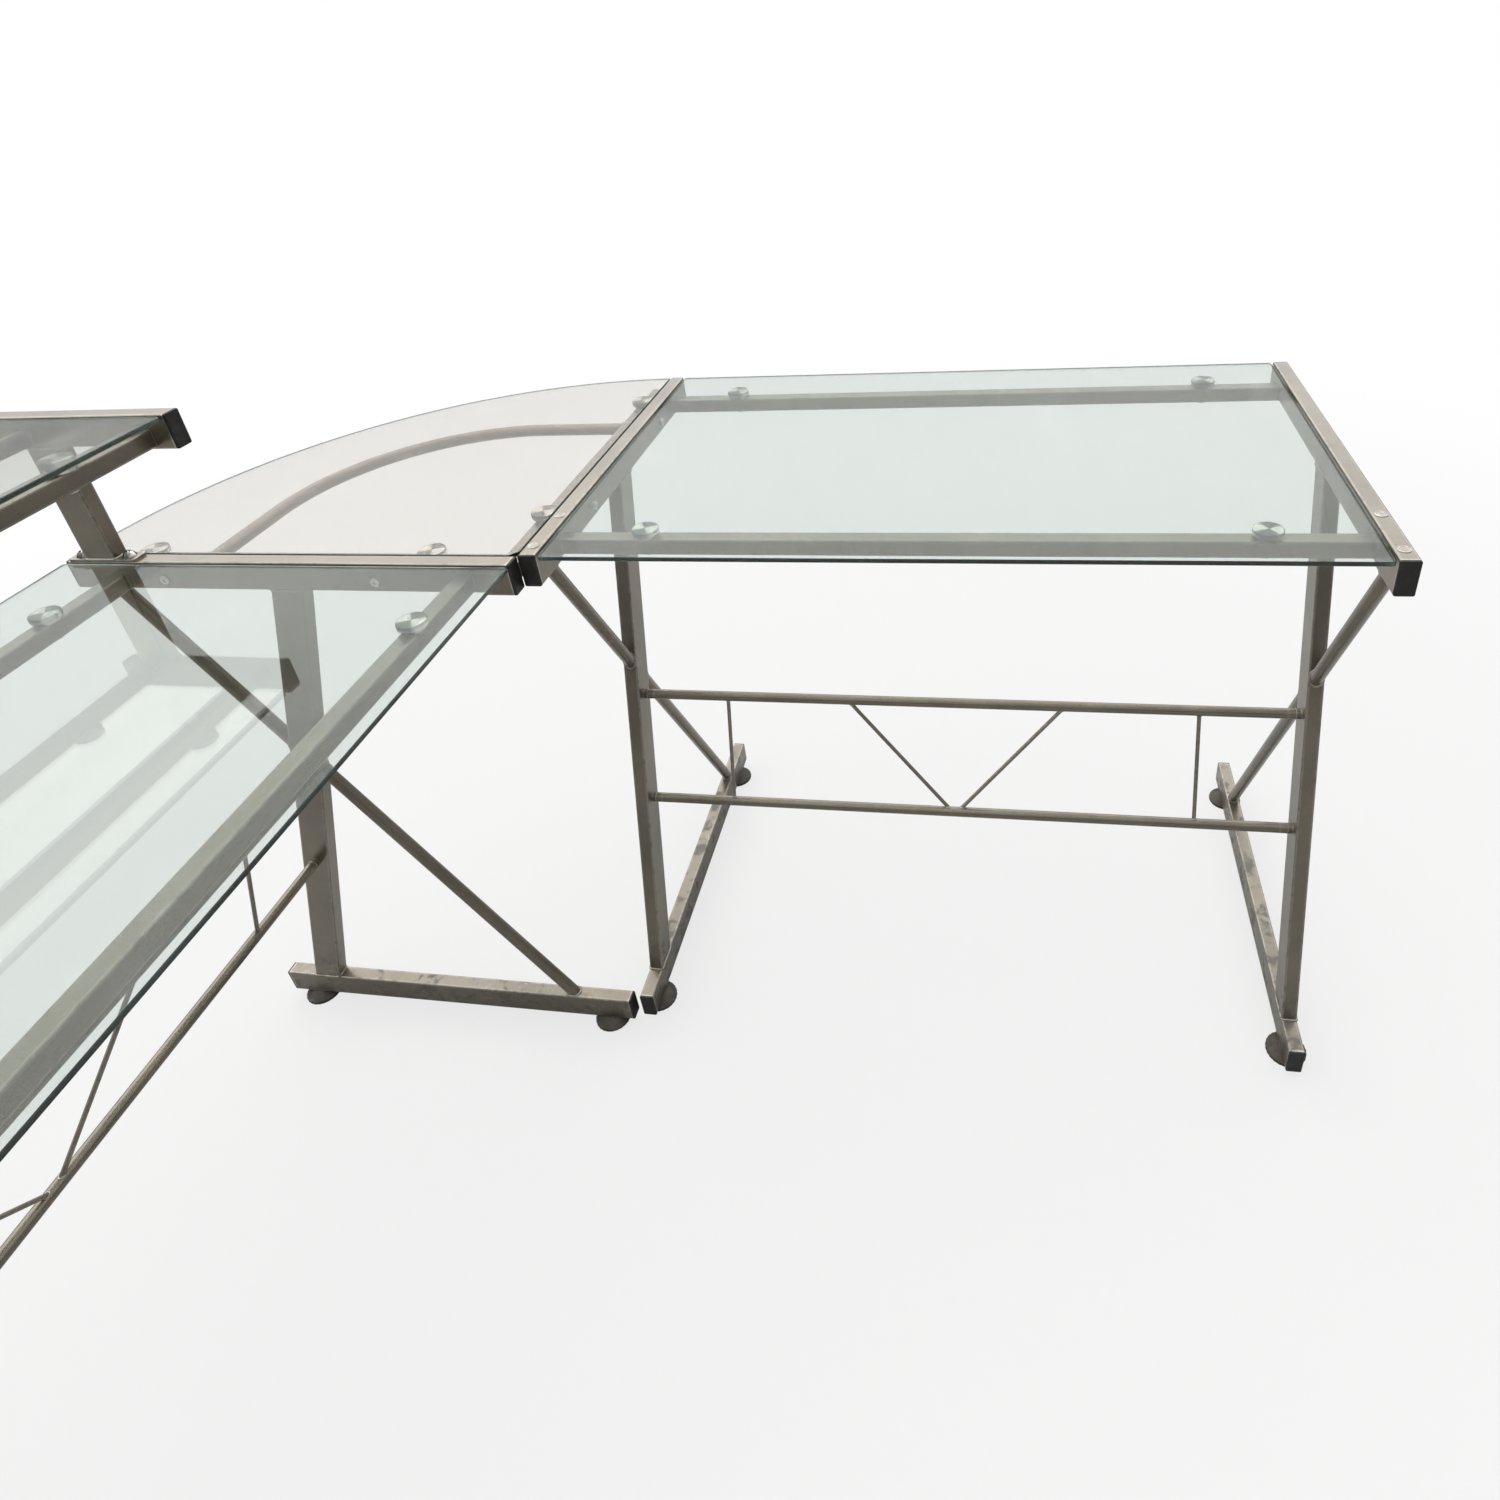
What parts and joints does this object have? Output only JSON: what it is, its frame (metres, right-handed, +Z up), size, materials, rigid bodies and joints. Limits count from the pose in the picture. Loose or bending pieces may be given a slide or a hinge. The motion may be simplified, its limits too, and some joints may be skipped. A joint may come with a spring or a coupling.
{
  "type": "corner desk",
  "caption": "L-shaped desk: glass tops on tube side frames with inclined legs and truss stretchers, a quarter-round glass corner, a raised glass shelf and levelling glides.",
  "frame": {"origin": "on the floor, under the middle of the desk's outer box", "axes": "+Z up; the right wing runs along +X from the inner corner, the left wing along -Y; the corner glass lies towards -X and +Y"},
  "size_m": [1.4456, 1.4356, 0.933],
  "materials": {
    "frame_coat": "satin metallic powder coat",
    "black_cap": "fine moulded texture",
    "glide_plastic": "moulded",
    "clear_glass": "polished edges",
    "pad_chrome": "turned and polished",
    "zinc": "zinc plated",
    "plug_plastic": "moulded to match the frame"
  },
  "bodies": {
    "desk": {"right_inner_rail": "frame_coat", "right_inner_leg": "frame_coat", "right_inner_struts": "frame_coat", "right_inner_foot": "frame_coat", "right_inner_caps": "black_cap", "right_outer_rail": "frame_coat", "right_outer_leg": "frame_coat", "right_outer_struts": "frame_coat", "right_outer_foot": "frame_coat", "right_outer_caps": "black_cap", "left_inner_rail": "frame_coat", "left_inner_leg": "frame_coat", "left_inner_struts": "frame_coat", "left_inner_foot": "frame_coat", "left_inner_caps": "black_cap", "left_outer_rail": "frame_coat", "left_outer_leg": "frame_coat", "left_outer_struts": "frame_coat", "left_outer_foot": "frame_coat", "left_outer_caps": "black_cap", "right_toe_cross_rail": "frame_coat", "right_heel_cross_rail": "frame_coat", "right_truss_upper": "frame_coat", "right_truss_lower": "frame_coat", "right_truss_rods": "frame_coat", "right_glass": "clear_glass", "left_toe_cross_rail": "frame_coat", "left_heel_cross_rail": "frame_coat", "left_truss_upper": "frame_coat", "left_truss_lower": "frame_coat", "left_truss_rods": "frame_coat", "left_glass": "clear_glass", "corner_glass": "clear_glass", "corner_bar_right": "frame_coat", "corner_bar_left": "frame_coat", "corner_brace": "frame_coat", "corner_spacers": "zinc", "shelf_inner_post": "frame_coat", "shelf_outer_post": "frame_coat", "shelf_inner_rail": "frame_coat", "shelf_outer_rail": "frame_coat", "shelf_front_cross_rail": "frame_coat", "shelf_back_cross_rail": "frame_coat", "shelf_glass": "clear_glass", "shelf_caps": "black_cap", "glass_pads": "pad_chrome", "pad_screws": "zinc", "frame_bolts": "zinc", "shelf_screws": "pad_chrome", "rail_plugs": "plug_plastic"},
    "right_inner_toe_glide": {"right_inner_toe_glide": "glide_plastic"},
    "right_inner_heel_glide": {"right_inner_heel_glide": "glide_plastic"},
    "right_outer_toe_glide": {"right_outer_toe_glide": "glide_plastic"},
    "right_outer_heel_glide": {"right_outer_heel_glide": "glide_plastic"},
    "left_inner_toe_glide": {"left_inner_toe_glide": "glide_plastic"},
    "left_inner_heel_glide": {"left_inner_heel_glide": "glide_plastic"},
    "left_outer_toe_glide": {"left_outer_toe_glide": "glide_plastic"},
    "left_outer_heel_glide": {"left_outer_heel_glide": "glide_plastic"}
  },
  "joints": [
    {"name": "right_inner_toe_level", "type": "slide", "parent": "desk", "child": "right_inner_toe_glide", "axis": [0, 0, 1], "range_m": [-0.012, 0]},
    {"name": "right_inner_heel_level", "type": "slide", "parent": "desk", "child": "right_inner_heel_glide", "axis": [0, 0, 1], "range_m": [-0.012, 0]},
    {"name": "right_outer_toe_level", "type": "slide", "parent": "desk", "child": "right_outer_toe_glide", "axis": [0, 0, 1], "range_m": [-0.012, 0]},
    {"name": "right_outer_heel_level", "type": "slide", "parent": "desk", "child": "right_outer_heel_glide", "axis": [0, 0, 1], "range_m": [-0.012, 0]},
    {"name": "left_inner_toe_level", "type": "slide", "parent": "desk", "child": "left_inner_toe_glide", "axis": [0, 0, 1], "range_m": [-0.012, 0]},
    {"name": "left_inner_heel_level", "type": "slide", "parent": "desk", "child": "left_inner_heel_glide", "axis": [0, 0, 1], "range_m": [-0.012, 0]},
    {"name": "left_outer_toe_level", "type": "slide", "parent": "desk", "child": "left_outer_toe_glide", "axis": [0, 0, 1], "range_m": [-0.012, 0]},
    {"name": "left_outer_heel_level", "type": "slide", "parent": "desk", "child": "left_outer_heel_glide", "axis": [0, 0, 1], "range_m": [-0.012, 0]}
  ]
}
